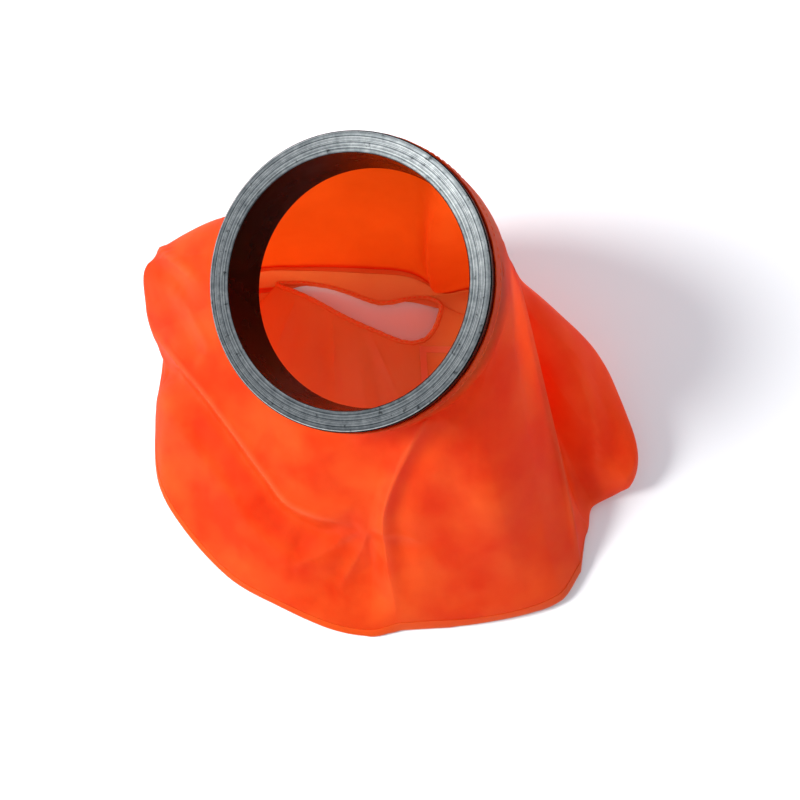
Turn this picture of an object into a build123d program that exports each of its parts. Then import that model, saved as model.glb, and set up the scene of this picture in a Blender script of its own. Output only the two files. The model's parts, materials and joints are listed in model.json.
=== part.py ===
"""Smoke hood: a coated-fabric hood that hangs from a short rigid port tube.

The hood stands on a flat surface with its neck opening down. Four wall panels run from the
collar on the port tube to the base, three base panels close it round the neck opening, and
welded tapes cover the seams. The port leans to the front left and sinks as the hood is pressed
flat. Millimetres, +Z up, origin on the surface below the middle of the hood.
"""

import os
from math import cos, radians, sin

from build123d import *

os.makedirs("parts", exist_ok=True)

# Port tube
tube_outer_radius = 55.0
tube_bore_radius = 47.0
tube_length = 27.0
outer_edge_chamfer = 0.8
bore_edge_chamfer = 0.5

# Groove round the tube, where the band sits
groove_start = 13.0
groove_width = 7.0
groove_depth = 1.8

# How the port stands: height of its front face, its lean from upright, and which way it leans
port_height = 115.0
port_lean = 21.0
port_lean_direction = 214.0

# Fabric and seam tape
fabric = 1.2
tape = 0.6
tape_gap = 0.25
seam_width = 8.0

# Cuff: the sleeve on the tube, with the band that holds it in the groove
cuff_fabric = 0.8
cuff_start = 6.0
cuff_overhang = 4.0
fit_gap = 0.05
band_side_gap = 0.3

# Collar: the hood's top edge, a turned hem outside the cuff
collar_start = 5.0
collar_length = 6.0
running_gap = 0.3

# Widest line of the walls: a plane that rises to the back
waist_height = 34.0
waist_rise = 14.0

# Reach of the walls from the plumb line of the port, from +X towards +Y in equal steps
waist_reach = [103, 85, 78, 69, 66, 68, 77, 95, 74, 62, 66, 82, 106, 128, 142, 125]
floor_reach = [113, 95, 84, 72, 69, 72, 81, 97, 98, 107, 124, 125, 135, 147, 150, 138]

# Wall seams, as directions round the plumb line of the port
wall_seams = {"back_right": 8.0, "back_left": 160.0, "front_left": 215.0, "front_right": 333.0}

# Neck opening, measured from the plumb line of the port
neck_offset = (0.0, 24.0)
neck_half_length = 43.0
neck_half_width = 11.5
neck_turn = -14.0

# Rolled hem round the neck opening, and the elastic inside it
hem_width = 4.0
hem_height = 4.0
elastic_width = 1.8
elastic_height = 1.6
elastic_gap = 0.2

# Corner beside the neck opening where the front and right base seams meet, measured from the
# plumb line of the port, and the base seams as directions round it
corner_offset = (33.0, -1.0)
base_seams = {"base_right": 1.0, "base_left": 160.0, "base_front": 273.0}

# Longer than the hood, for cutting tools
beyond = 300.0

# Worked out from the sizes above
sides = len(floor_reach)
bearings = [360.0 / sides * i for i in range(sides)]
cuff_radius = tube_outer_radius + fit_gap + cuff_fabric
collar_radius = cuff_radius + running_gap
cuff_end = tube_length + cuff_overhang


def on_circle(angle, radius):
    """Plan offset in this direction, that far out."""
    return radius * cos(radians(angle)), radius * sin(radians(angle))


# The origin is below the middle of the base, so the plumb line of the port stands off it
base_offsets = [on_circle(angle, reach) for angle, reach in zip(bearings, floor_reach)]
port_x, port_y = (-(min(line) + max(line)) / 2 for line in zip(*base_offsets))

# Planes
lean, toward = radians(port_lean), radians(port_lean_direction)
port_axis = Vector(sin(lean) * cos(toward), sin(lean) * sin(toward), cos(lean))
port_centre = Vector(port_x, port_y, port_height)
port_plane = Plane(port_centre, x_dir=Vector(1, 0, -port_axis.X / port_axis.Z), z_dir=port_axis)
section_plane = Plane(port_centre, x_dir=port_plane.x_dir, z_dir=-port_plane.y_dir)
collar_plane = port_plane.offset(-collar_start - collar_length - running_gap)
cuff_end_plane = port_plane.offset(-cuff_end - running_gap)
waist_normal = Vector(0, -sin(radians(waist_rise)), cos(radians(waist_rise)))
waist_plane = Plane((0, 0, waist_height), x_dir=(1, 0, 0), z_dir=waist_normal)
floor_plane = Plane.XY
tape_plane = Plane.XY.offset(fabric + tape_gap)
port_foot = (port_x, port_y)
neck_centre = (port_x + neck_offset[0], port_y + neck_offset[1])
base_corner = (port_x + corner_offset[0], port_y + corner_offset[1])
neck_plane = Plane((*neck_centre, 0), x_dir=(*on_circle(neck_turn, 1), 0))


# Outlines ------------------------------------------------------------------------------------


def wall_outline(plane, reaches, grow):
    """Many-sided face on a plane, whose corners stand over these reaches."""
    corners = []
    for angle, reach in zip(bearings, reaches):
        x, y = on_circle(angle, reach + grow)
        x, y = port_x + x, port_y + y
        z = plane.origin.Z - (x * plane.z_dir.X + y * plane.z_dir.Y) / plane.z_dir.Z
        corner = plane.to_local_coords(Vector(x, y, z))
        corners.append((corner.X, corner.Y))
    with BuildSketch(plane) as face:
        Polygon(*corners, align=None)
    return face.sketch


def collar_outline(plane, grow):
    """Many-sided face round the port, whose flats clear the cuff."""
    with BuildSketch(plane) as face:
        RegularPolygon(collar_radius + grow, sides, major_radius=False)
    return face.sketch


def wall_sections(grow):
    """Outlines of the walls, from the collar down, grown from their inner side."""
    return [
        collar_outline(collar_plane, grow),
        collar_outline(cuff_end_plane, grow),
        wall_outline(waist_plane, waist_reach, grow - fabric),
        wall_outline(floor_plane, floor_reach, grow - fabric),
    ]


def neck_outline(height, grow):
    """Long rounded face of the neck opening, at this height."""
    with BuildSketch(neck_plane.offset(height)) as face:
        SlotOverall(2 * (neck_half_length + grow), 2 * (neck_half_width + grow))
    return face.sketch


def wedge(centre, start, end):
    """Plan wedge between two directions round a point."""
    turn = (end - start) % 360
    far = [on_circle(start + turn * share, 2 * beyond) for share in (0, 1 / 3, 2 / 3, 1)]
    with BuildSketch() as face:
        Polygon(centre, *[(centre[0] + x, centre[1] + y) for x, y in far], align=None)
    return face.sketch


def strip(plane, centre, angle, start=0.0):
    """Strip of tape on a plane, outwards from this far off a point."""
    origin = (*centre, plane.origin.Z)
    with BuildSketch(Plane(origin, x_dir=(*on_circle(angle, 1), 0))) as face:
        with Locations((start + beyond / 2, 0)):
            Rectangle(beyond, seam_width)
    return face.sketch


def ring_profile(inner_radius, outer_radius, start, end, mode=Mode.ADD):
    """Section of a ring round the port axis, between two depths behind the front face."""
    with Locations(((inner_radius + outer_radius) / 2, -(start + end) / 2)):
        Rectangle(outer_radius - inner_radius, end - start, mode=mode)


# Port ----------------------------------------------------------------------------------------

turning_axis = Axis(port_centre, port_axis)
groove_end = groove_start + groove_width
groove_radius = tube_outer_radius - groove_depth

# Tube: turned, with chamfered rims and a groove for the band
with BuildPart() as port_tube:
    with BuildSketch(section_plane) as tube_section:
        ring_profile(tube_bore_radius, tube_outer_radius, 0, tube_length)
        rims = tube_section.vertices().group_by(Axis.X)
        chamfer(rims[0], bore_edge_chamfer)
        chamfer(rims[-1], outer_edge_chamfer)
        ring_profile(groove_radius, 2 * tube_outer_radius, groove_start, groove_end, Mode.SUBTRACT)
    revolve(axis=turning_axis)
port_tube.part.label = "port_tube"

# Cuff: sleeve on the tube that dips into the groove under the band
dip_radius = groove_radius + fit_gap + cuff_fabric
dip_start = groove_start + fit_gap + cuff_fabric
dip_end = groove_end - fit_gap - cuff_fabric
with BuildPart() as cuff:
    with BuildSketch(section_plane):
        ring_profile(tube_outer_radius + fit_gap, cuff_radius, cuff_start, cuff_end)
        ring_profile(groove_radius + fit_gap, cuff_radius, groove_start + fit_gap, groove_end - fit_gap)
        ring_profile(dip_radius, 2 * cuff_radius, dip_start, dip_end, Mode.SUBTRACT)
    revolve(axis=turning_axis)
cuff.part.label = "cuff"

# Retaining band: flat elastic ring with rounded edges, in the dip of the cuff
with BuildPart() as retaining_band:
    with BuildSketch(section_plane) as band_section:
        ring_profile(dip_radius + fit_gap, cuff_radius, dip_start + band_side_gap, dip_end - band_side_gap)
        fillet(band_section.vertices(), (cuff_radius - dip_radius - fit_gap) / 4)
    revolve(axis=turning_axis)
retaining_band.part.label = "retaining_band"

# Collar hem: the hood's turned top edge, outside the cuff
with BuildPart() as collar_hem:
    with BuildSketch(section_plane) as collar_section:
        ring_profile(
            cuff_radius + fit_gap,
            cuff_radius + fit_gap + fabric,
            collar_start,
            collar_start + collar_length,
        )
        fillet(collar_section.vertices().group_by(Axis.Y)[-1], fabric / 3)
    revolve(axis=turning_axis)
collar_hem.part.label = "collar_hem"


# Walls ---------------------------------------------------------------------------------------

pieces = [port_tube.part, cuff.part, retaining_band.part, collar_hem.part]
seam_names = list(wall_seams)
panel_names = ["back_panel", "left_panel", "front_panel", "right_panel"]

# Wall panels: each runs from the collar to the floor between two seams
for name, start, end in zip(panel_names, seam_names, seam_names[1:] + seam_names[:1]):
    with BuildPart() as wall_panel:
        extrude(wedge(port_foot, wall_seams[start], wall_seams[end]), amount=beyond)
        loft(wall_sections(fabric), ruled=True, mode=Mode.INTERSECT)
        loft(wall_sections(0), ruled=True, mode=Mode.SUBTRACT)
    wall_panel.part.label = name
    pieces.append(wall_panel.part)

# Wall seams: tape over each joint between two panels, on the outside, just clear of the floor
tape_inside = fabric + tape_gap
for name, angle in wall_seams.items():
    with BuildPart() as wall_tape:
        extrude(strip(tape_plane, port_foot, angle), amount=beyond)
        loft(wall_sections(tape_inside + tape), ruled=True, mode=Mode.INTERSECT)
        loft(wall_sections(tape_inside), ruled=True, mode=Mode.SUBTRACT)
    wall_tape.part.label = f"{name}_seam"
    pieces.append(wall_tape.part)


# Base ----------------------------------------------------------------------------------------

seam_names = list(base_seams)
panel_names = ["base_back_panel", "base_left_panel", "base_right_panel"]

# Base panels: they meet at the neck hem and end at the walls
for name, start, end in zip(panel_names, seam_names, seam_names[1:] + seam_names[:1]):
    with BuildPart() as base_panel:
        extrude(wedge(base_corner, base_seams[start], base_seams[end]), amount=fabric)
        loft(wall_sections(-tape_gap), ruled=True, mode=Mode.INTERSECT)
        extrude(neck_outline(0, hem_width + tape_gap), amount=beyond, mode=Mode.SUBTRACT)
    base_panel.part.label = name
    pieces.append(base_panel.part)

# Base seams: tape over each joint between two base panels, up to the edge tape. The front tape
# starts at the side of the right one, and the left tape starts at the far end of the neck opening.
edge_tape_inside = -seam_width - 2 * tape_gap
left_tape_start = 1.75 * neck_half_length
base_seam_starts = {
    "base_right": 0.0,
    "base_left": left_tape_start,
    "base_front": seam_width / 2 + tape_gap,
}
for name, angle in base_seams.items():
    with BuildPart() as base_tape:
        extrude(strip(tape_plane, base_corner, angle, base_seam_starts[name]), amount=tape)
        loft(wall_sections(edge_tape_inside), ruled=True, mode=Mode.INTERSECT)
        extrude(neck_outline(0, hem_width + tape_gap), amount=beyond, mode=Mode.SUBTRACT)
    base_tape.part.label = f"{name}_seam"
    pieces.append(base_tape.part)

# Edge seam: tape all round, where the base meets the walls, cut back from the neck hem
with BuildPart() as edge_seam:
    with BuildSketch(tape_plane):
        Rectangle(2 * beyond, 2 * beyond)
    extrude(amount=tape)
    loft(wall_sections(-tape_gap), ruled=True, mode=Mode.INTERSECT)
    loft(wall_sections(-tape_gap - seam_width), ruled=True, mode=Mode.SUBTRACT)
    extrude(neck_outline(0, hem_width + tape_gap), amount=beyond, mode=Mode.SUBTRACT)
edge_seam.part.label = "edge_seam"

# Neck hem: the rolled edge of the neck opening, folded round the elastic and open outwards
channel_start = (hem_height - elastic_height) / 2 - elastic_gap
channel_height = elastic_height + 2 * elastic_gap
channel_grow = (hem_width - elastic_width) / 2 - elastic_gap
channel_outline = neck_outline(channel_start, 2 * hem_width) - neck_outline(channel_start, channel_grow)
with BuildPart() as neck_hem:
    extrude(neck_outline(0, hem_width), amount=hem_height)
    extrude(neck_outline(0, 0), amount=hem_height, mode=Mode.SUBTRACT)
    extrude(channel_outline, amount=channel_height, mode=Mode.SUBTRACT)
neck_hem.part.label = "neck_hem"

# Neck elastic: a flat closed loop that runs in the hem
elastic_start = channel_start + elastic_gap
elastic_grow = channel_grow + elastic_gap
with BuildPart() as neck_elastic:
    extrude(neck_outline(elastic_start, elastic_grow + elastic_width), amount=elastic_height)
    extrude(neck_outline(elastic_start, elastic_grow), amount=elastic_height, mode=Mode.SUBTRACT)
neck_elastic.part.label = "neck_elastic"

pieces += [edge_seam.part, neck_hem.part, neck_elastic.part]
for piece in pieces:
    export_step(piece, f"parts/{piece.label}.step")
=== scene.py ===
import json
import math

import bpy
import numpy as np
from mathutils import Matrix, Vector
from mathutils.bvhtree import BVHTree


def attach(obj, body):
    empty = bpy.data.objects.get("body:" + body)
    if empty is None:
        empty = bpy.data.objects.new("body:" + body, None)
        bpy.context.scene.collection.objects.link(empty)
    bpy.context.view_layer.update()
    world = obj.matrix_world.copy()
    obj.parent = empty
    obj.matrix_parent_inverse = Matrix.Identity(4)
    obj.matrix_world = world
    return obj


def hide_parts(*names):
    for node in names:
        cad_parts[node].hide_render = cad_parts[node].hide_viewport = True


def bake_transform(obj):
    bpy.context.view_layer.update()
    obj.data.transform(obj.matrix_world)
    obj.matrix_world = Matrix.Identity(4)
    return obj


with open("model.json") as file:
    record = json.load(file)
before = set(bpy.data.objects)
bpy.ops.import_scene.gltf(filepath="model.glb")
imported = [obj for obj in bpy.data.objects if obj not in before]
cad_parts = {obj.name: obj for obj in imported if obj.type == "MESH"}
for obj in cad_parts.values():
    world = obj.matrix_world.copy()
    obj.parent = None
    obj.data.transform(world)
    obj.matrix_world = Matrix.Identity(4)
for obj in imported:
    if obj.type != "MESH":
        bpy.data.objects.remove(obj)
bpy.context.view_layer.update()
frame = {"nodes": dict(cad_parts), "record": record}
mm = 0.001


def say(text):
    print("smoke hood:", text)


def hexColour(text):  # sRGB hex to the linear values that shaders take
    parts = [int(text[i:i + 2], 16) / 255 for i in (1, 3, 5)]
    return [c / 12.92 if c <= 0.04045 else ((c + 0.055) / 1.055) ** 2.4 for c in parts] + [1.0]


# One node with its settings, and values or links for its inputs: an input is named, or numbered as i0, and
# a node given as a value stands for its first output. The stops of a colour ramp are (place, colour or grey).
def addNode(tree, kind, settings=None, **inputs):
    node = tree.nodes.new(kind)
    for name, value in (settings or {}).items():
        if name != "stops":
            setattr(node, name, value)
            continue
        while len(node.color_ramp.elements) < len(value):
            node.color_ramp.elements.new(0.5)
        for element, (place, colour) in zip(node.color_ramp.elements, value):
            element.position = place
            element.color = colour if isinstance(colour, list) else [colour] * 3 + [1]
    for name, value in inputs.items():
        socket = node.inputs[int(name[1:])] if name[1:].isdigit() else node.inputs[name.replace("_", " ")]
        value = value.outputs[0] if hasattr(value, "outputs") else value
        if hasattr(value, "is_output"):
            tree.links.new(value, socket)
        else:
            socket.default_value = value
    return node


def newMaterial(name):
    material = bpy.data.materials.new(name)
    material.use_nodes = True
    material.node_tree.nodes.clear()
    return material, material.node_tree


# Nylon taffeta coated with polyurethane, woven and then coated: thin, a little glossy, and light comes
# through it. Along creases its colour is lightened, partly for the coating's whitening and partly as a
# painted highlight on the ridge, and painted shade darkens the valleys beside the folds. Crumples of about
# 17 mm are drawn as bumps, and the 0.3 mm weave is drawn at 0.9 mm so that it shows.
# The first mark is painted shade in the valleys beside folds. The second lightens creases: partly the
# coating's whitening, partly a painted highlight.
fabricMarks = [("doubled", 0.35, "#e23c10"), ("creased", 0.42, "#ffa468")]  # attribute, strength, tint
fabricScale = {"cloud": 26 * mm, "crumple": 17 * mm, "bend": 20 * mm, "swirl": 12 * mm, "ripple": 8 * mm,
               "weave": 0.9 * mm, "waveLength": 20}


def coatedNylon(name, dark, light, backlight, through, sheer, roughness):
    material, tree = newMaterial(name)
    place = addNode(tree, "ShaderNodeTexCoord").outputs["Object"]
    cloudy = addNode(tree, "ShaderNodeTexNoise", Vector=place, Scale=1 / fabricScale["cloud"], Detail=4.0,
                     Roughness=0.6)
    patches = addNode(tree, "ShaderNodeValToRGB", {"stops": [(0.35, 0.0), (0.7, 1.0)]}, i0=cloudy)
    colour = addNode(tree, "ShaderNodeMix", {"data_type": "RGBA"}, i0=patches, i6=hexColour(dark),
                     i7=hexColour(light))
    for attribute, strength, tint in fabricMarks:
        marked = addNode(tree, "ShaderNodeAttribute", {"attribute_name": attribute}).outputs["Fac"]
        amount = addNode(tree, "ShaderNodeMath", {"operation": "MULTIPLY"}, i0=marked, i1=strength)
        colour = addNode(tree, "ShaderNodeMix", {"data_type": "RGBA"}, i0=amount, i6=colour.outputs[2],
                         i7=hexColour(tint))
    bent = addNode(tree, "ShaderNodeTexNoise", Vector=place, Scale=1 / fabricScale["bend"], Detail=2.0)
    swirled = addNode(tree, "ShaderNodeVectorMath", {"operation": "MULTIPLY_ADD"}, i0=bent.outputs["Color"],
                      i1=(fabricScale["swirl"],) * 3, i2=place)
    facets = addNode(tree, "ShaderNodeTexVoronoi", {"feature": "SMOOTH_F1"}, Vector=swirled,
                     Scale=1 / fabricScale["crumple"], Smoothness=0.35)
    soft = addNode(tree, "ShaderNodeTexNoise", Vector=place, Scale=1 / fabricScale["ripple"], Detail=3.0,
                   Roughness=0.5)
    weave = addNode(tree, "ShaderNodeTexWave", {"wave_type": "BANDS", "bands_direction": "DIAGONAL"},
                    Vector=place, Scale=1 / (fabricScale["waveLength"] * fabricScale["weave"]))
    surface = None
    for strength, distance, height in ((0.12, 2.2 * mm, facets.outputs["Distance"]), (0.2, 0.5 * mm, soft),
                                       (0.05, 0.1 * mm, weave.outputs["Fac"])):
        under = {"Normal": surface} if surface else {}
        surface = addNode(tree, "ShaderNodeBump", Strength=strength, Distance=distance, Height=height,
                          **under)
    coat = addNode(tree, "ShaderNodeBsdfPrincipled", Base_Color=colour.outputs[2], Roughness=roughness,
                   IOR=1.45, Normal=surface, Specular_IOR_Level=0.35)
    backlit = addNode(tree, "ShaderNodeBsdfTranslucent", Color=hexColour(backlight), Normal=surface)
    cloth = addNode(tree, "ShaderNodeMixShader", Fac=through, i1=coat, i2=backlit)
    clear = addNode(tree, "ShaderNodeBsdfTransparent", Color=hexColour(backlight))
    both = addNode(tree, "ShaderNodeMixShader", Fac=sheer, i1=cloth, i2=clear)
    addNode(tree, "ShaderNodeOutputMaterial", Surface=both)
    return material


# Aluminium tube, anodised black all over, then its front face turned bare on a lathe: fine rings from the
# tool, a few nicks, and black elsewhere.
def turnedAndAnodised(centre, axis, bareTo, ringSpacing):
    material, tree = newMaterial("anodisedAluminiumTurnedFace")
    place = addNode(tree, "ShaderNodeTexCoord").outputs["Object"]
    offset = addNode(tree, "ShaderNodeVectorMath", {"operation": "SUBTRACT"}, i0=place, i1=centre)
    depth = addNode(tree, "ShaderNodeVectorMath", {"operation": "DOT_PRODUCT"}, i0=offset,
                    i1=axis).outputs["Value"]
    along = addNode(tree, "ShaderNodeVectorMath", {"operation": "SCALE"}, i0=axis, Scale=depth)
    flat = addNode(tree, "ShaderNodeVectorMath", {"operation": "SUBTRACT"}, i0=offset, i1=along)
    radius = addNode(tree, "ShaderNodeVectorMath", {"operation": "LENGTH"}, i0=flat).outputs["Value"]
    isBare = addNode(tree, "ShaderNodeMath", {"operation": "GREATER_THAN"}, i0=depth, i1=-bareTo)
    slowly = addNode(tree, "ShaderNodeTexNoise", Vector=place, Scale=1 / (30 * mm), Detail=2.0)
    wander = addNode(tree, "ShaderNodeMath", {"operation": "MULTIPLY"}, i0=slowly, i1=0.5 * mm)
    wandered = addNode(tree, "ShaderNodeMath", {"operation": "ADD"}, i0=radius, i1=wander)
    rings = addNode(tree, "ShaderNodeTexNoise", {"noise_dimensions": "1D"}, Scale=1 / ringSpacing, Detail=4.0,
                    Roughness=0.75, W=wandered)
    broken = addNode(tree, "ShaderNodeTexNoise", Vector=place, Scale=1 / (3 * mm), Detail=4.0, Roughness=0.7)
    most = addNode(tree, "ShaderNodeMath", {"operation": "MULTIPLY"}, i0=rings, i1=0.75)
    rest = addNode(tree, "ShaderNodeMath", {"operation": "MULTIPLY"}, i0=broken, i1=0.25)
    streaks = addNode(tree, "ShaderNodeMath", {"operation": "ADD"}, i0=most, i1=rest)
    tones = [(0.36, hexColour("#3c4144")), (0.5, hexColour("#7d8384")), (0.64, hexColour("#c2c5c2"))]
    tone = addNode(tree, "ShaderNodeValToRGB", {"stops": tones}, i0=streaks)
    spots = addNode(tree, "ShaderNodeTexNoise", Vector=place, Scale=1 / (2.4 * mm), Detail=3.0)
    pits = addNode(tree, "ShaderNodeValToRGB", {"stops": [(0.28, 0.35), (0.36, 1.0)]}, i0=spots)
    bareColour = addNode(tree, "ShaderNodeMix", {"data_type": "RGBA", "blend_type": "MULTIPLY"}, i0=1.0,
                         i6=tone, i7=pits)
    groove = addNode(tree, "ShaderNodeBump", Strength=0.35, Distance=0.05 * mm, Height=rings)
    bare = addNode(tree, "ShaderNodeBsdfPrincipled", Base_Color=bareColour.outputs[2], Metallic=1.0,
                   Roughness=0.3, Normal=groove)
    drag = addNode(tree, "ShaderNodeTexNoise", Vector=place, Scale=1 / (11 * mm), Detail=4.0)
    dulled = addNode(tree, "ShaderNodeValToRGB", {"stops": [(0.3, 0.2), (0.8, 0.34)]}, i0=drag)
    black = addNode(tree, "ShaderNodeBsdfPrincipled", Base_Color=hexColour("#050506"), Metallic=0.0,
                    Roughness=dulled, IOR=1.16, Specular_IOR_Level=0.5)
    both = addNode(tree, "ShaderNodeMixShader", Fac=isBare, i1=black, i2=bare)
    addNode(tree, "ShaderNodeOutputMaterial", Surface=both)
    return material


# Natural rubber, moulded and cut: dull, with a faint bloom.
def mouldedRubber():
    material, tree = newMaterial("naturalRubberBand")
    place = addNode(tree, "ShaderNodeTexCoord").outputs["Object"]
    bloom = addNode(tree, "ShaderNodeTexNoise", Vector=place, Scale=1 / (4.5 * mm), Detail=4.0)
    tones = [(0.3, hexColour("#111111")), (0.8, hexColour("#2a2a29"))]
    colour = addNode(tree, "ShaderNodeValToRGB", {"stops": tones}, i0=bloom)
    skin = addNode(tree, "ShaderNodeBump", Strength=0.3, Distance=0.1 * mm, Height=bloom)
    surface = addNode(tree, "ShaderNodeBsdfPrincipled", Base_Color=colour, Roughness=0.6, Normal=skin)
    addNode(tree, "ShaderNodeOutputMaterial", Surface=surface)
    return material


# Spun or braided polyester: matt, one colour.
def plainYarn(name, colour, roughness):
    material, tree = newMaterial(name)
    yarn = addNode(tree, "ShaderNodeBsdfPrincipled", Base_Color=hexColour(colour), Roughness=roughness)
    addNode(tree, "ShaderNodeOutputMaterial", Surface=yarn)
    return material


# Plain matt white board under the hood.
def whiteBoard():
    material, tree = newMaterial("mattWhiteBoard")
    board = addNode(tree, "ShaderNodeBsdfPrincipled", Base_Color=hexColour("#f7f7f7"), Roughness=0.9,
                    Specular_IOR_Level=0.1)
    addNode(tree, "ShaderNodeOutputMaterial", Surface=board)
    return material


orangeNylon = coatedNylon("coatedNylonTaffeta", "#ee4f16", "#ff7a2e", "#ff9c4a", 0.56, 0.2, 0.45)
# The base and the neck hem lie in the hood's shade. Their fabric is coloured much paler than the walls'
# orange, as painted light standing in for light that does not reach them.
paintedLightBaseNylon = coatedNylon("coatedNylonBase", "#ffb862", "#ffc472", "#ffc890", 0.4, 0.2, 0.45)
seamTape = coatedNylon("weldedClearTape", "#fb7028", "#fd7a2e", "#ffb478", 0.65, 0.0, 0.35)
# The tape on the base is made paler in the same way, as painted light for the shaded inside of the hood.
paintedLightBaseTape = coatedNylon("weldedNylonTape", "#ffa06c", "#ffaa78", "#ffd0a8", 0.35, 0.0, 0.35)
rubber = mouldedRubber()
thread = plainYarn("spunPolyesterThread", "#f4682c", 0.75)
braid = plainYarn("braidedElastic", "#ffb890", 0.8)

# Where the port stands.
portMount = next(m for m in frame["record"]["mounts"] if m["name"] == "port_bore")
portAxis = np.array(portMount["axis"], float)
portAxis /= np.linalg.norm(portAxis)
tube = {"length": 27 * mm, "bareTo": 0.35 * mm, "ringSpacing": 0.8 * mm}
portCentre = np.array(portMount["pos_m"], float) + portAxis * tube["length"] / 2  # middle of the front face
portFoot = np.array([portCentre[0], portCentre[1], 0.0])
across = np.array([portAxis[2], 0, -portAxis[0]])
across /= np.linalg.norm(across)
upwards = np.cross(portAxis, across)


def roundPort(angle, radius, depth):  # a point round the port axis, this deep behind the front face
    turn = math.radians(angle)
    return portCentre - portAxis * depth + radius * (math.cos(turn) * across + math.sin(turn) * upwards)


# Each rib runs down the hood from the cuff, clockwise from the back seen from above. Its points are in mm
# from the port's plumb line: upper, waist, low and edge, then the base goes in to the neck opening's rim.
# crease is how sharp the fold along the rib is, and waistCrease how sharp the fold across it is at the waist.
hood = {
    "cuffRadius": 55.6 * mm,
    "top": 11.3 * mm,       # depth behind the front face where the wall fabric starts
    "cuffEnd": 31.2 * mm,
    "thickness": 0.25 * mm,
    "columns": 10,          # steps between two ribs
    "rows": [5, 10, 14, 14, 8, 5, 8, 3],
    "settleFrames": 26,
    "looseness": 0.012,     # how much longer the fabric is than the shape it hangs in
}
ribs = [
    # angle on the cuff, upper, waist, low, edge, crease, waist crease
    (92, (4, 64, 80), (4, 60, 50), (4, 50, 26), (3, 40, 9), 0.0, 0.0),
    (72, (26, 60, 84), (29, 54, 54), (28, 46, 26), (26, 38, 8), 0.1, 0.0),
    (58, (37, 48, 86), (33, 37, 52), (36, 26, 24), (43, 30, 5), 0.9, 0.0),
    (49, (44, 41, 92), (56, 35, 62), (68, 35, 26), (66, 33, 2), 0.4, 0.1),
    (41, (51, 31, 88), (79, 13, 55), (92, 12, 22), (90, 10, 1), 0.3, 0.2),
    (34, (56, 24, 88), (97, 4, 42), (103, 3, 18), (102, 2, 0.5), 0.5, 0.3),
    (29, (62, 18, 86), (110, -8, 36), (113, -11, 14), (109, -12, 0.5), 0.0, 0.2),
    (25, (66, 11, 80), (120, -27, 32), (122, -31, 12), (116, -32, 0.5), 0.0, 0.3),
    (22, (72, 4, 70), (128, -49, 26), (127, -53, 10), (119, -52, 0.5), 0.0, 0.4),
    (20, (72, -4, 60), (124, -63, 20), (127, -67, 8), (120, -66, 0.5), 0.3, 0.5),
    (18, (70, -6, 52), (104, -62, 15), (112, -75, 6), (110, -74, 0.5), 0.2, 0.2),
    (15, (71, -4, 58), (98, -66, 20), (108, -84, 10), (109, -88, 0.5), 0.5, 0.0),
    (10, (69, 10, 80), (84, -36, 51), (95, -70, 30), (105, -104, 6), 0.9, 0.0),
    (-12, (67, -22, 84), (76, -56, 56), (85, -90, 29), (96, -117, 6), 0.2, 0.0),
    (-34, (52, -44, 82), (62, -76, 54), (71, -102, 26), (80, -124, 5), 0.1, 0.0),
    (-54, (40, -50, 80), (42, -78, 50), (48, -106, 24), (53, -129, 4), 0.1, 0.0),
    (-70, (29, -50, 78), (15, -77, 51), (15, -99, 30), (21, -131, 4), 0.9, 0.0),
    (-84, (16, -54, 68), (7, -84, 38), (8, -104, 17), (7, -135, 2), 0.2, 0.1),
    (-100, (2, -56, 62), (-8, -82, 37), (-7, -108, 15), (-11, -132, 1.5), 0.0, 0.2),
    (-118, (-14, -53, 60), (-28, -76, 37), (-31, -106, 14), (-35, -122, 1), 0.2, 0.5),
    (-134, (-26, -43, 60), (-39, -63, 40), (-53, -92, 15), (-59, -109, 1), 0.1, 0.8),
    (-150, (-37, -32, 58), (-51, -47, 42), (-72, -69, 15), (-81, -87, 1), 0.0, 0.9),
    (-166, (-45, -18, 58), (-65, -29, 41), (-88, -46, 15), (-95, -64, 1), 0.0, 0.9),
    (-180, (-52, -4, 60), (-80, -12, 35), (-94, -22, 13), (-98, -36, 1), 0.1, 0.8),
    (166, (-55, 8, 66), (-94, 4, 25), (-94, 0, 12), (-96, -8, 1), 0.5, 0.5),
    (154, (-56, 16, 72), (-95, 14, 36), (-94, 10, 15), (-91, 8, 0.5), 0.2, 0.4),
    (142, (-53, 26, 78), (-92, 31, 49), (-90, 32, 20), (-86, 30, 0.5), 0.4, 0.4),
    (128, (-42, 40, 82), (-63, 44, 60), (-59, 43, 28), (-51, 41, 6), 0.1, 0.1),
    (110, (-20, 56, 82), (-25, 55, 50), (-26, 48, 26), (-25, 41, 9), 0.1, 0.0),
]
# The neck opening's rim, clockwise from the back, in mm from the port's plumb line.
neck = {"lift": 3.2, "frontLift": 2.0, "swell": 4.0,
        "rim": [(-2, 29.5), (11, 25), (23, 27), (33, 28), (41, 25), (39, 14), (33, 6), (23, 4.5),
                (8, 10.5), (-6, 17), (-24, 27), (-42, 35), (-29, 35.5), (-14, 33.5)],
        "creases": [0, 0, 0, 0.2, 0.5, 0.2, 0, 0, 0, 0, 0, 0.9, 0, 0]}
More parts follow.
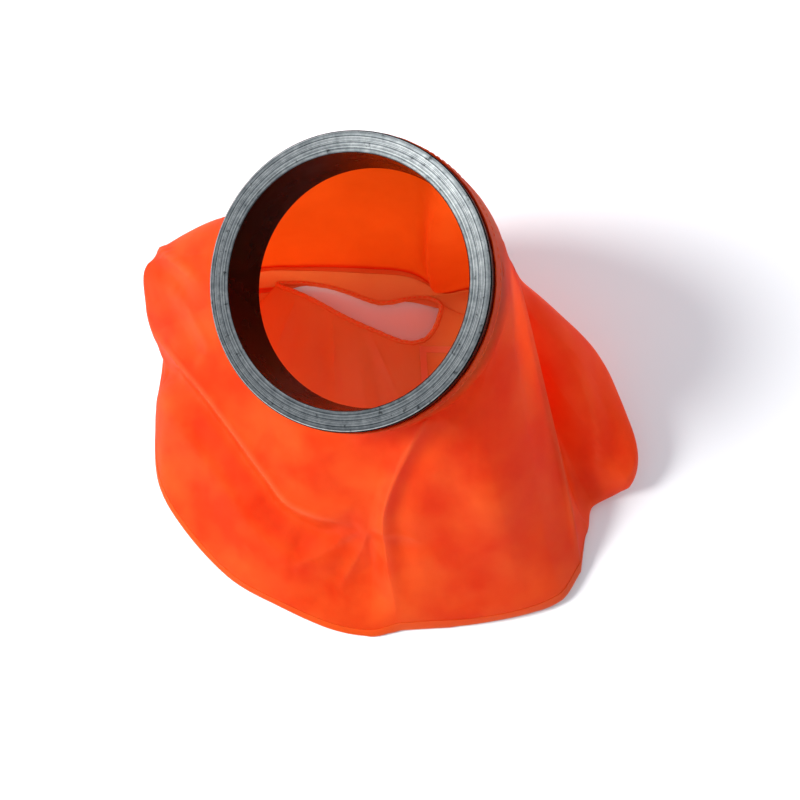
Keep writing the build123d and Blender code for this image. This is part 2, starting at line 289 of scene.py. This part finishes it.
# Folds pressed in the fabric, as lines seen from above in mm from the port's plumb line. height is how far
# the fold stands out, and valley how far the fabric beside it sinks, to the right of the line's direction if
# reach is positive.
foldLines = [
    {"line": [(-94, 4), (-80, -12), (-65, -29), (-50, -48), (-38, -64), (-28, -76), (-14, -82), (7, -86)],
     "height": 1.8, "width": 1.8, "valley": 7.0, "reach": 9, "spread": 6},
    {"line": [(33, -42), (29, -49), (22, -60), (17, -71), (14, -83), (16, -100), (20, -124)],
     "height": 1.4, "width": 1.8, "valley": 1.8, "reach": -6, "spread": 5},
    {"line": [(62, 28), (67, 17), (75, -6), (84, -36), (93, -62), (101, -91), (105, -104)],
     "height": 1.5, "width": 1.5, "valley": 0.4, "reach": -5, "spread": 4},
    {"line": [(7, -86), (18, -90), (32, -92)],
     "height": 0.5, "width": 1.6, "valley": 0.5, "reach": 5, "spread": 3},
    {"line": [(7, -86), (2, -98), (-8, -114)],
     "height": 0.6, "width": 1.7, "valley": 0.8, "reach": 5, "spread": 4},
    {"line": [(7, -86), (-12, -96), (-30, -104)],
     "height": 0.6, "width": 1.8, "valley": 0.9, "reach": 6, "spread": 4},
    {"line": [(-93, 43), (-80, 30), (-63, 14)],
     "height": 1.5, "width": 1.6, "valley": 1.6, "reach": 6, "spread": 4},
    {"line": [(-62, -12), (-70, 4), (-84, 24)],
     "height": 0.8, "width": 1.8, "valley": 0.8, "reach": -6, "spread": 4},
    {"line": [(112, -61), (108, -40), (96, -12)],
     "height": 1.0, "width": 2.4, "valley": 1.5, "reach": 8, "spread": 5},
]
baseFolds = [
    {"line": [(-16, 13), (-11, -4), (-6, -24)],
     "height": 2.6, "width": 2.0, "valley": 2.0, "reach": 5, "spread": 4},
    {"line": [(-38, 20), (-32, -4), (-16, -26)],
     "height": 1.8, "width": 2.2, "valley": 1.2, "reach": -5, "spread": 4},
    {"line": [(16, 4), (14, -14), (20, -30)],
     "height": 1.4, "width": 2.2, "valley": 1.2, "reach": 6, "spread": 4},
]


def hermite(points, creases, steps, closed):
    # A curve through the points, smooth where the crease is 0 and bent sharply where it is 1.
    points, count = np.array(points, float), len(points)
    before = np.roll(points, 1, 0) if closed else np.concatenate([points[:1], points[:-1]])
    after = np.roll(points, -1, 0) if closed else np.concatenate([points[1:], points[-1:]])
    smooth = (after - before) / (2 if closed else np.array([1] + [2] * (count - 2) + [1])[:, None])
    sharp = np.array(creases, float)[:, None]
    leaving = (1 - sharp) * smooth + sharp * (after - points)
    arriving = (1 - sharp) * smooth + sharp * (points - before)
    made = []
    for i in range(count if closed else count - 1):
        j = (i + 1) % count
        for t in np.arange(steps[i]) / steps[i]:
            a, b = 2 * t**3 - 3 * t**2 + 1, t**3 - 2 * t**2 + t
            c, d = -2 * t**3 + 3 * t**2, t**3 - t**2
            made.append(a * points[i] + b * leaving[i] + c * points[j] + d * arriving[j])
    if not closed:
        made.append(points[-1])
    return np.array(made)


def evenly(points, count):  # count points spaced evenly round a closed line
    points = np.vstack([points, points[:1]])
    run = np.concatenate([[0], np.cumsum(np.linalg.norm(np.diff(points, axis=0), axis=1))])
    places = np.arange(count) / count * run[-1]
    return np.array([np.interp(places, run, points[:, k]) for k in range(points.shape[1])]).T


def hoodGrid():  # rows of points from the cuff down and in to the neck, columns round the hood
    rim = evenly(hermite(neck["rim"], neck["creases"], [8] * len(neck["rim"]), True), len(ribs))
    lines = []
    for k, (angle, upper, waist, low, edge, crease, waistCrease) in enumerate(ribs):
        raised = min(1.0, max(0.0, (-edge[1] - 30) / 60))  # the front of the base doesn't lie flat
        hem = np.array([*rim[k], neck["lift"] + neck["frontLift"] * raised])
        start = np.array([edge[0], edge[1], max(0.0, edge[2] - 0.8)])
        under = start * 0.94 + hem * 0.06
        inward = start * 0.45 + hem * 0.55 + np.array([0, 0, neck["swell"] * raised - 0.4])
        points = [portFoot + np.array(p) * mm for p in (upper, waist, low, edge, under, inward, hem)]
        points = [roundPort(angle, hood["cuffRadius"], hood["top"]),
                  roundPort(angle, hood["cuffRadius"], hood["cuffEnd"])] + points
        atEdge = 0.5 if edge[2] < 4 else 0.1
        lines.append(hermite(points, [0, 0.6, 0.1, waistCrease, 0.1, atEdge, 0.3, 0, 0], hood["rows"], False))
    lines = np.array(lines).transpose(1, 0, 2)
    creases = [rib[5] for rib in ribs]
    grid = []
    for r, line in enumerate(lines):
        fade = min(1.0, max(0.0, (r - rowAt[1]) / 6))
        grid.append(hermite(line, [c * fade for c in creases], [hood["columns"]] * len(ribs), True))
    return np.array(grid)


# Rows at the top, cuff end, upper, waist, low, edge, under, inward and rim points of the ribs.
rowAt = np.concatenate([[0], np.cumsum(hood["rows"])])
cuffEnd, waistRow, edgeRow, inwardRow, rimRow = [int(rowAt[k]) for k in (1, 3, 5, 7, 8)]


def gridNormals(grid, closed=True):  # outward normals of a grid of points
    if closed:
        alongColumns = np.roll(grid, -1, 1) - np.roll(grid, 1, 1)
    else:
        alongColumns = np.gradient(grid, axis=1)
    normals = np.cross(np.gradient(grid, axis=0), alongColumns)
    return -normals / np.maximum(np.linalg.norm(normals, axis=2, keepdims=True), 1e-12)


def gridFaces(rows, columns, closed):
    faces = []
    for r in range(rows - 1):
        for c in range(columns if closed else columns - 1):
            d = (c + 1) % columns
            faces.append((r * columns + c, (r + 1) * columns + c, (r + 1) * columns + d, r * columns + d))
    return faces


# How far along a fold it fades in and out, and how wide a crease is, and how high a fold is for a full mark,
# in mm.
foldMark = {"startFade": 0.12, "endFade": 0.2, "width": 1.1, "fullHeight": 2.4}


def foldField(flat, folds):
    # For points seen from above, in mm: how far each stands out, how far it sinks, how near a crease it is.
    rise, sink, mark = np.zeros(flat.shape[:2]), np.zeros(flat.shape[:2]), np.zeros(flat.shape[:2])
    for fold in folds:
        line = hermite(fold["line"], [0] * len(fold["line"]), [5] * len(fold["line"]), False)
        nearest = np.full(flat.shape[:2], 1e9)
        side, place = np.zeros_like(nearest), np.zeros_like(nearest)
        for i in range(len(line) - 1):
            step = line[i + 1] - line[i]
            t = np.clip(((flat - line[i]) @ step) / (step @ step), 0, 1)
            away = flat - line[i] - t[..., None] * step
            far = np.linalg.norm(away, axis=2)
            closer = far < nearest
            nearest = np.where(closer, far, nearest)
            side = np.where(closer, np.sign(step[1] * away[..., 0] - step[0] * away[..., 1]), side)
            place = np.where(closer, (i + t) / (len(line) - 1), place)
        ends = np.clip(np.minimum(place / foldMark["startFade"], (1 - place) / foldMark["endFade"]), 0, 1)
        ends = np.where((place <= 0) | (place >= 1), 0, ends)
        rise += ends * fold["height"] * np.exp(-nearest / fold["width"])
        sink += ends * fold["valley"] * np.exp(-((nearest * side - fold["reach"]) / fold["spread"]) ** 2)
        strength = min(1.0, fold["height"] / foldMark["fullHeight"])
        mark = np.maximum(mark, ends * np.exp(-(nearest / foldMark["width"]) ** 2) * strength)
    return rise, sink, mark


def seenFromAbove(points):
    return (points[:, :, :2] - portFoot[:2]) / mm


def pressFolds(grid, folds, first, last, normals):
    rise, sink, _ = foldField(seenFromAbove(grid[first:last + 1]), folds)
    facing = np.clip(normals[first:last + 1, :, 2] * 3, 0, 1)
    rows = np.arange(first, last + 1)
    kept = np.clip((rows - first) / 5, 0, 1) * np.clip((last - rows) / 4, 0, 1)
    grid = grid.copy()
    grid[first:last + 1] += normals[first:last + 1] * ((rise - sink) * facing * kept[:, None] * mm)[..., None]
    return grid


def meshObject(name, points, faces, materials=()):
    words = name.split("_")
    name = words[0] + "".join(word.capitalize() for word in words[1:])
    mesh = bpy.data.meshes.new(name)
    mesh.from_pydata([tuple(p) for p in points], [], faces)
    mesh.update()
    for material in materials:
        mesh.materials.append(material)
    mesh.shade_smooth()
    thing = bpy.data.objects.new(name, mesh)
    bpy.context.scene.collection.objects.link(thing)
    return thing


# How firmly the points are held as the fabric settles, and how the fabric behaves.
hold = {"least": 0.16, "fold": 0.5, "belowCuff": 0.7, "edge": 0.6, "waist": 0.4}
coatedCloth = {
    "quality": 6, "mass": 0.02, "tension_stiffness": 20, "compression_stiffness": 20, "shear_stiffness": 8,
    "bending_stiffness": 0.02, "bending_damping": 0.2, "tension_damping": 5, "compression_damping": 5,
    "shear_damping": 5, "air_damping": 2, "pin_stiffness": 1.2,
}


def settle(grid):
    # The fabric is cut a little long and then hangs, held firmly at the cuff, the neck and the folds.
    rows, columns = grid.shape[:2]
    cloth = meshObject("settling", grid.reshape(-1, 3), gridFaces(rows, columns, True))
    group = cloth.vertex_groups.new(name="held")
    byRib = np.array([rib[5] for rib in ribs])
    for r in range(rows):
        for c in range(columns):
            rib = (c / hood["columns"]) % len(ribs)
            near = 1 - min(1.0, abs(rib - round(rib)) * 2)
            held = hold["least"] + hold["fold"] * byRib[round(rib) % len(ribs)] * near
            if r <= cuffEnd or r >= inwardRow:
                held = 1.0
            elif r < cuffEnd + 4:
                held = hold["belowCuff"]
            elif abs(r - edgeRow) <= 1:
                held = max(held, hold["edge"])
            elif abs(r - waistRow) <= 1:
                held = max(held, hold["waist"])
            group.add([r * columns + c], held, "REPLACE")
    modifier = cloth.modifiers.new("settle", "CLOTH")
    fabric = modifier.settings
    for setting, value in coatedCloth.items():
        setattr(fabric, setting, value)
    fabric.vertex_group_mass = "held"
    fabric.shrink_min = -hood["looseness"]
    fabric.effector_weights.gravity = 0.25
    modifier.collision_settings.use_collision = False
    modifier.point_cache.frame_start, modifier.point_cache.frame_end = 1, hood["settleFrames"]
    for step in range(1, hood["settleFrames"] + 1):
        bpy.context.scene.frame_set(step)
    settled = bpy.data.meshes.new_from_object(cloth.evaluated_get(bpy.context.evaluated_depsgraph_get()))
    points = np.array([v.co for v in settled.vertices]).reshape(rows, columns, 3)
    bpy.data.objects.remove(cloth)
    bpy.context.scene.frame_set(1)
    points[:, :, 2] = np.maximum(points[:, :, 2], 0.5 * mm)
    return points


def finer(grid):  # twice the points each way, on smooth curves through the old ones
    padded = np.concatenate([2 * grid[:1] - grid[1:2], grid, 2 * grid[-1:] - grid[-2:-1]])
    tall = np.empty((2 * grid.shape[0] - 1,) + grid.shape[1:])
    tall[::2] = grid
    tall[1::2] = (9 * (padded[1:-2] + padded[2:-1]) - (padded[:-3] + padded[3:])) / 16
    wide = np.empty((tall.shape[0], 2 * grid.shape[1], 3))
    wide[:, ::2] = tall
    wide[:, 1::2] = (9 * (tall + np.roll(tall, -1, 1)) - (np.roll(tall, 1, 1) + np.roll(tall, -2, 1))) / 16
    return wide


grid = hoodGrid()
grid = pressFolds(grid, foldLines, cuffEnd, edgeRow, gridNormals(grid))
grid = pressFolds(grid, baseFolds, edgeRow, rimRow, np.zeros_like(grid) + (0, 0, 1))
designed = grid
say(f"hood sheet {grid.shape[0]} x {grid.shape[1]} points")
hung = settle(grid) - grid
for _ in range(4):  # the finest ripples come from the size of the mesh, not from the cloth
    hung = (np.roll(hung, 1, 1) + 2 * hung + np.roll(hung, -1, 1)) / 4
    hung[1:-1] = (hung[:-2] + 2 * hung[1:-1] + hung[2:]) / 4
grid = grid + hung
say(f"settled, moved {np.linalg.norm(grid - designed, axis=2).mean() / mm:.2f} mm on average, "
        f"{np.linalg.norm(grid - designed, axis=2).max() / mm:.2f} mm at most")

grid = finer(grid)
cuffEnd, edgeRow, rimRow = 2 * cuffEnd, 2 * edgeRow, 2 * rimRow
total = grid.shape[1]
seamColumns = {"back_right": 80, "front_right": 240, "front_left": 420, "back_left": 520}
baseColumns = {"base_right": 100, "base_front": 310, "base_left": 520}
# reach is the columns looked at beside a tape, and edgeReach the rows beside the tape round the edge
tape = {"width": 6 * mm, "thickness": 0.2 * mm, "gap": 0.04 * mm, "reach": 14, "edgeReach": 8}
# from the middle of the fabric to the middle of the tape
tapeOff = hood["thickness"] / 2 + tape["thickness"] / 2 + tape["gap"]


def shell(name, points, normals, thickness, closed, material, marks=None):
    # A sheet with a real thickness: its outer and inner faces and the rims between them, all closed.
    rows, columns = points.shape[:2]
    count = rows * columns
    corners = np.concatenate([(points + normals * thickness / 2).reshape(-1, 3),
                              (points - normals * thickness / 2).reshape(-1, 3)])
    inner = gridFaces(rows, columns, closed)
    faces = [face[::-1] for face in inner] + [tuple(i + count for i in face) for face in inner]
    for c in range(columns if closed else columns - 1):
        a, b, last = c, (c + 1) % columns, (rows - 1) * columns
        faces.append((b, a, a + count, b + count))
        faces.append((last + a, last + b, last + b + count, last + a + count))
    if not closed:
        for r in range(rows - 1):
            a, b = r * columns, (r + 1) * columns
            faces.append((a, b, b + count, a + count))
            a, b = a + columns - 1, b + columns - 1
            faces.append((b, a, a + count, b + count))
    thing = meshObject(name, corners, faces, [material])
    shading = np.concatenate([normals.reshape(-1, 3), -normals.reshape(-1, 3)])
    thing.data.normals_split_custom_set_from_vertices([tuple(n) for n in shading])
    for label, values in (marks or {}).items():
        attribute = thing.data.attributes.new(label, "FLOAT", "POINT")
        attribute.data.foreach_set("value", np.tile(values.reshape(-1), 2).astype(np.float32))
    return thing


def onBody(thing, body, node):
    if body == "wall":
        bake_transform(thing)
    else:
        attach(thing, body)
    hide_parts(node)
    return thing


def columnsBetween(first, last):
    return [(first + k) % total for k in range((last - first) % total + 1)]


# How far the base laps inside the wall, the rows over which it comes away again, and the rows it starts
# above the edge.
lap = {"amount": 0.45 * mm, "rows": 6, "start": 2}
normals = gridNormals(grid)
for name, first, last in (("back_panel", "back_left", "back_right"),
                          ("right_panel", "back_right", "front_right"),
                          ("front_panel", "front_right", "front_left"),
                          ("left_panel", "front_left", "back_left")):
    chosen = columnsBetween(seamColumns[first], seamColumns[last])
    points, facing = grid[:edgeRow + 1][:, chosen], normals[:edgeRow + 1][:, chosen]
    _, sink, mark = foldField(seenFromAbove(points), foldLines)
    upFacing = np.clip(facing[:, :, 2] * 4, 0, 1)
    # Painted shade in the fold valleys, and crease lightening that is partly a painted highlight, both only
    # where the fabric faces up.
    marks = {"creased": mark * upFacing, "doubled": np.clip(sink / 8, 0, 1) * upFacing}
    thing = shell(name, points, facing, hood["thickness"], False, orangeNylon, marks)
    onBody(thing, "wall", name)
for name, first, last in (("base_back_panel", "base_left", "base_right"),
                          ("base_right_panel", "base_right", "base_front"),
                          ("base_left_panel", "base_front", "base_left")):
    chosen = columnsBetween(baseColumns[first], baseColumns[last])
    points, facing = grid[edgeRow - lap["start"]:][:, chosen], normals[edgeRow - lap["start"]:][:, chosen]
    inside = np.clip(1 - np.arange(len(points)) / lap["rows"], 0, 1)[:, None, None] * lap["amount"]
    points = points - facing * inside
    points[:, :, 2] = np.maximum(points[:, :, 2], 0.4 * mm)
    _, sink, mark = foldField(seenFromAbove(points), baseFolds)
    # Painted shade in the base's fold valleys, and crease lightening that is partly a painted highlight.
    marks = {"creased": mark, "doubled": np.clip(sink / 4, 0, 1)}
    thing = shell(name, points, facing, hood["thickness"], False, paintedLightBaseNylon, marks)
    onBody(thing, "hood", name)
say("panels made")


def spread(lines, facing, middle, width, steps):
    # Points across each line, at even distances from its middle point, and the normals there.
    made, turned = [], []
    places = np.linspace(-width / 2, width / 2, steps)
    for line, way in zip(lines, facing):
        run = np.concatenate([[0], np.cumsum(np.linalg.norm(np.diff(line, axis=0), axis=1))])
        run -= run[middle]
        made.append([[np.interp(place, run, line[:, k]) for k in range(3)] for place in places])
        turned.append([[np.interp(place, run, way[:, k]) for k in range(3)] for place in places])
    turned = np.array(turned)
    return np.array(made), turned / np.linalg.norm(turned, axis=2, keepdims=True)


def tapeDown(name, column, first, last, body):  # on the inside of the fabric, down one column
    chosen = [(column + k) % total for k in range(-tape["reach"], tape["reach"] + 1)]
    points, facing = spread(grid[first:last + 1][:, chosen], normals[first:last + 1][:, chosen],
                            tape["reach"], tape["width"], 5)
    points = points - facing * tapeOff
    return onBody(shell(name, points, facing, tape["thickness"], False, seamTape), body, name)


tapes = {}
for name, column in seamColumns.items():
    tapes[name + "_seam"] = tapeDown(name + "_seam", column, 1, edgeRow - 1, "wall")
tapes["base_left_seam"] = tapeDown("base_left_seam", baseColumns["base_left"], edgeRow + 2, rimRow - 3,
                                   "hood")

# The edge tape wraps the seam between walls and base.
nearEdge = slice(edgeRow - tape["edgeReach"], edgeRow + tape["edgeReach"] + 1)
points, facing = spread(grid[nearEdge].transpose(1, 0, 2), normals[nearEdge].transpose(1, 0, 2),
                        tape["edgeReach"], tape["width"], 7)
points, facing = points.transpose(1, 0, 2), facing.transpose(1, 0, 2)
points = points + facing * tapeOff
points[:, :, 2] = np.maximum(points[:, :, 2], 0.12 * mm)
tapes["edge_seam"] = onBody(shell("edge_seam", points, facing, tape["thickness"], True, seamTape), "hood",
                            "edge_seam")

# Two welded tapes lie on the base and meet in a corner: where, in mm from the port's plumb line, and the
# direction and length of each.
corner = {"at": (32, 1), "right": (0, 62), "front": (273, 116), "width": 3.2, "step": 2.0, "lookFrom": 16,
          "above": 0.32 * mm}
basePoints = grid[edgeRow:]
baseTree = BVHTree.FromPolygons([tuple(p) for p in basePoints.reshape(-1, 3)],
                                gridFaces(basePoints.shape[0], total, True))


def tapeOnBase(name, start, direction, length):
    turn = math.radians(direction)
    way, side = np.array([math.cos(turn), math.sin(turn)]), np.array([-math.sin(turn), math.cos(turn)])
    rows = []
    for far in np.arange(start, length, corner["step"]):
        row = []
        for out in np.linspace(-corner["width"] / 2, corner["width"] / 2, 5):
            flat = np.array(corner["at"]) + way * far + side * out
            above = Vector(portFoot) + Vector((flat[0], flat[1], corner["lookFrom"])) * mm
            row.append(baseTree.ray_cast(above, Vector((0, 0, -1)))[0])
        if None in row:
            break
        rows.append([np.array(hit) + np.array([0, 0, corner["above"]]) for hit in row])
    points = np.array(rows)
    facing = gridNormals(points, False)
    facing *= np.sign(facing[:, :, 2:3].mean())
    if np.cross(points[1, 0] - points[0, 0], points[0, 1] - points[0, 0])[2] > 0:
        points, facing = points[:, ::-1], facing[:, ::-1]
    return onBody(shell(name, points, facing, tape["thickness"], False, paintedLightBaseTape), "hood", name)


tapes["base_right_seam"] = tapeOnBase("base_right_seam", -corner["width"] / 2, *corner["right"])
tapes["base_front_seam"] = tapeOnBase("base_front_seam", corner["width"] / 2, *corner["front"])
say("seam tapes made")

# The neck hem is a gathered tube of fabric with an elastic through it.
hem = {"radius": 1.2 * mm, "gathers": 40, "gatherDepth": 0.05, "elasticRadius": 0.6 * mm}


def ringTube(name, path, radius, depth, count, sides, material):
    ahead = np.roll(path, -1, 0) - np.roll(path, 1, 0)
    outward = np.cross(ahead, (0, 0, 1))
    outward /= np.linalg.norm(outward, axis=1, keepdims=True)
    rows = []
    for k, (centre, out) in enumerate(zip(path, outward)):
        turn = 2 * math.pi * k / len(path)
        wave = 1 + depth * math.sin(count * turn + 1.3 * math.sin(5 * turn))
        rows.append([centre + out * radius * wave * math.cos(a)
                     + np.array([0, 0, radius * wave * math.sin(a)])
                     for a in np.arange(sides) * 2 * math.pi / sides])
    points = np.array(rows)
    faces = []
    for r in range(len(path)):
        s = (r + 1) % len(path)
        for c in range(sides):
            d = (c + 1) % sides
            faces.append((r * sides + c, s * sides + c, s * sides + d, r * sides + d))
    thing = meshObject(name, points.reshape(-1, 3), faces, [material])
    if sum(face.normal.z for face in thing.data.polygons if face.center.z > path[:, 2].mean()) < 0:
        thing.data.flip_normals()
    return thing


rimLine = evenly(grid[rimRow], 368)
rimLine[:, 2] = np.maximum(rimLine[:, 2], 1.6 * mm)
neckHem = onBody(ringTube("neck_hem", rimLine, hem["radius"], hem["gatherDepth"], hem["gathers"], 12,
                          paintedLightBaseNylon), "hood", "neck_hem")
neckElastic = onBody(ringTube("neck_elastic", rimLine, hem["elasticRadius"], 0.0, 1, 8, braid), "hood",
                     "neck_elastic")


def roundBand(name, profile, thickness, material, ripple=0.0):
    # profile is a list of (depth, radius) in mm; ripple is the height of the gathers in mm
    rows = []
    for depth, radius in profile:
        row = []
        for angle in -np.arange(180) * 2:
            wave = math.sin(math.radians(angle) * 37 + 2 * math.sin(math.radians(angle) * 5))
            row.append(roundPort(angle, (radius + ripple * wave) * mm, depth * mm))
        rows.append(row)
    points = np.array(rows)
    thing = shell(name, points, gridNormals(points), thickness, True, material)
    return onBody(thing, "port", "cuff" if name == "cuff_sleeve" else name)


cuffProfile = [(6, 55.2), (8, 55.2), (10, 55.2), (12.4, 55.2), (13.3, 53.5), (14.5, 53.45), (18.5, 53.45),
               (19.7, 53.5), (20.6, 55.2), (23, 55.2), (26, 55.2), (28, 55.0), (29.5, 54.4), (31, 53.6)]
hemProfile = [(5, 55.6), (6.5, 55.65), (8.5, 55.75), (10.5, 55.95), (12.6, 56.0)]
bandProfile = [(13.7, 54.3), (14.2, 54.35), (16.5, 54.4), (18.8, 54.35), (19.3, 54.3)]
cuff = roundBand("cuff_sleeve", cuffProfile, 0.25 * mm, orangeNylon, 0.04)
collarHem = roundBand("collar_hem", hemProfile, 0.35 * mm, orangeNylon, 0.05)
roundBand("retaining_band", bandProfile, 1.3 * mm, rubber)
portMetal = turnedAndAnodised(tuple(portCentre), tuple(portAxis), tube["bareTo"], tube["ringSpacing"])
frame["nodes"]["port_tube"].data.materials.clear()
frame["nodes"]["port_tube"].data.materials.append(portMetal)
say("port dressed")

# Stitches along the two hems.
stitch = {"pitch": 2.6 * mm, "length": 1.9 * mm, "threadRadius": 0.16 * mm}


def stitchTree():
    tree = bpy.data.node_groups.new("stitchRun", "GeometryNodeTree")
    tree.interface.new_socket("Geometry", in_out="INPUT", socket_type="NodeSocketGeometry")
    for name in ("Stitch Pitch", "Stitch Length", "Thread Radius"):
        tree.interface.new_socket(name, in_out="INPUT", socket_type="NodeSocketFloat")
    tree.interface.new_socket("Thread", in_out="INPUT", socket_type="NodeSocketMaterial")
    tree.interface.new_socket("Geometry", in_out="OUTPUT", socket_type="NodeSocketGeometry")
    given = addNode(tree, "NodeGroupInput").outputs
    curve = addNode(tree, "GeometryNodeMeshToCurve", Mesh=given["Geometry"])
    spaced = addNode(tree, "GeometryNodeResampleCurve", {"mode": "LENGTH"}, Curve=curve,
                     Length=given["Stitch Pitch"])
    tangent = addNode(tree, "GeometryNodeInputTangent")
    turned = addNode(tree, "FunctionNodeAlignRotationToVector", {"axis": "Z"}, Vector=tangent)
    ball = addNode(tree, "GeometryNodeMeshUVSphere", Segments=6, Rings=5, Radius=1.0)
    half = addNode(tree, "ShaderNodeMath", {"operation": "MULTIPLY"}, i0=given["Stitch Length"], i1=0.5)
    size = addNode(tree, "ShaderNodeCombineXYZ", X=given["Thread Radius"], Y=given["Thread Radius"], Z=half)
    placed = addNode(tree, "GeometryNodeInstanceOnPoints", Points=spaced, Instance=ball, Rotation=turned,
                     Scale=size)
    real = addNode(tree, "GeometryNodeRealizeInstances", Geometry=placed)
    finish = addNode(tree, "GeometryNodeSetMaterial", Geometry=real, Material=given["Thread"])
    addNode(tree, "NodeGroupOutput", Geometry=finish)
    return tree


stitching = stitchTree()


def stitchRun(name, line, body):
    edges = [(i, (i + 1) % len(line)) for i in range(len(line))]
    mesh = bpy.data.meshes.new(name + "Line")
    mesh.from_pydata([tuple(p) for p in line], edges, [])
    carrier = bpy.data.objects.new(name + "Line", mesh)
    bpy.context.scene.collection.objects.link(carrier)
    modifier = carrier.modifiers.new("stitches", "NODES")
    modifier.node_group = stitching
    values = {"Stitch Pitch": stitch["pitch"], "Stitch Length": stitch["length"],
              "Thread Radius": stitch["threadRadius"], "Thread": thread}
    for item in stitching.interface.items_tree:
        if item.item_type == "SOCKET" and item.in_out == "INPUT" and item.name in values:
            modifier[item.identifier] = values[item.name]
    made = bpy.data.meshes.new_from_object(carrier.evaluated_get(bpy.context.evaluated_depsgraph_get()))
    bpy.data.objects.remove(carrier)
    made.name = name
    made.shade_smooth()
    thing = bpy.data.objects.new(name, made)
    bpy.context.scene.collection.objects.link(thing)
    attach(thing, body)
    return thing


collarLine = [roundPort(-a, 56.2 * mm, 10.8 * mm) for a in range(360)]
collarStitches = stitchRun("collarStitches", collarLine, "port")
hemStitches = stitchRun("neckHemStitches", rimLine + np.array([0, 0, hem["radius"] + 0.1 * mm]), "hood")
say("stitches made")

# What each sheet was cut to before it was sewn: width, length and area, in metres and square metres.
cut = {"back_panel": (0.217, 0.144, 0.0191), "right_panel": (0.182, 0.190, 0.0118),
       "front_panel": (0.213, 0.188, 0.0248), "left_panel": (0.123, 0.142, 0.0106),
       "base_back_panel": (0.206, 0.035, 0.0028),
       "base_right_panel": (0.193, 0.157, 0.0133), "base_left_panel": (0.257, 0.159, 0.0170)}
sewnOn = {"back_panel": ("back_left_seam", "back_right_seam"),
          "front_panel": ("front_left_seam", "front_right_seam"),
          "base_left_panel": ("base_left_seam", "base_front_seam"),
          "base_right_panel": ("base_right_seam", "edge_seam")}
for name, (width, length, area) in cut.items():
    onIt = [tapes[other] for other in sewnOn.get(name, ())]
    if name == "base_left_panel":
        onIt += [neckHem, neckElastic, hemStitches]
say("sheets declared")

floorReach = 12
floorCorners = [(x * floorReach, y * floorReach, 0) for x, y in ((-1, -1), (1, -1), (1, 1), (-1, 1))]
floor = meshObject("floor", floorCorners, [(0, 1, 2, 3)], [whiteBoard()])

scene = bpy.context.scene
scene.view_settings.view_transform = "Standard"
studio = {"from": (-0.75, 0.0, 0.66), "distance": 1.6, "size": 0.55, "power": 34.0,
          "brightest": (-0.1, 0.75, 0.65), "dark": [0.14, 0.145, 0.17, 1], "bright": [0.88, 0.91, 0.98, 1],
          "box": (-0.4, 0.15, 0.9), "boxSize": 0.36, "boxPower": 3.0}
world = bpy.data.worlds.new("studio")
scene.world = world
world.use_nodes = True
sky = world.node_tree
direction = addNode(sky, "ShaderNodeTexCoord").outputs["Generated"]
facingBack = addNode(sky, "ShaderNodeVectorMath", {"operation": "DOT_PRODUCT"}, i0=direction,
                     i1=studio["brightest"]).outputs["Value"]
height = addNode(sky, "ShaderNodeSeparateXYZ", Vector=direction).outputs["Z"]
halved = addNode(sky, "ShaderNodeMath", {"operation": "MULTIPLY"}, i0=facingBack, i1=0.5)
ceiling = addNode(sky, "ShaderNodeMath", {"operation": "ADD"}, i0=halved, i1=0.5)
horizon = addNode(sky, "ShaderNodeValToRGB", {"stops": [(0.1, 1.0), (0.42, 0.0)]}, i0=height)
shade = addNode(sky, "ShaderNodeMath", {"operation": "MAXIMUM"}, i0=ceiling, i1=horizon)
tones = [(0.3, studio["dark"]), (0.95, studio["bright"])]  # both cooler than the key light
glow = addNode(sky, "ShaderNodeValToRGB", {"stops": tones}, i0=shade)
sky.links.new(glow.outputs[0], sky.nodes["Background"].inputs["Color"])
sky.nodes["Background"].inputs["Strength"].default_value = 1.0


def softLight(name, direction, distance, size, power, shows):
    light = bpy.data.lights.new(name, "AREA")
    light.shape, light.size, light.energy = "DISK", size, power
    thing = bpy.data.objects.new(name, light)
    scene.collection.objects.link(thing)
    towards = Vector(direction).normalized()
    thing.location = towards * distance + Vector((0, 0, 0.05))
    thing.rotation_euler = towards.to_track_quat("Z", "Y").to_euler()
    thing.visible_glossy = shows       # the key light is far bigger than its lamp, so metal doesn't mirror it
    thing.visible_diffuse = not shows  # the box is a card that only metal mirrors


softLight("keyLight", studio["from"], studio["distance"], studio["size"], studio["power"], False)
softLight("boxLight", studio["box"], studio["distance"], studio["boxSize"], studio["boxPower"], True)

view = {"sensor": 36.0, "lens": 38.9, "from": (20.8, -96.9, 417.9), "tilt": 10}
cameraData = bpy.data.cameras.new("camera")
cameraData.sensor_width, cameraData.lens = view["sensor"], view["lens"]
camera = bpy.data.objects.new("camera", cameraData)
scene.collection.objects.link(camera)
camera.location = Vector(portFoot) + Vector(view["from"]) * mm
camera.rotation_euler = (math.radians(view["tilt"]), 0, 0)
scene.camera = camera
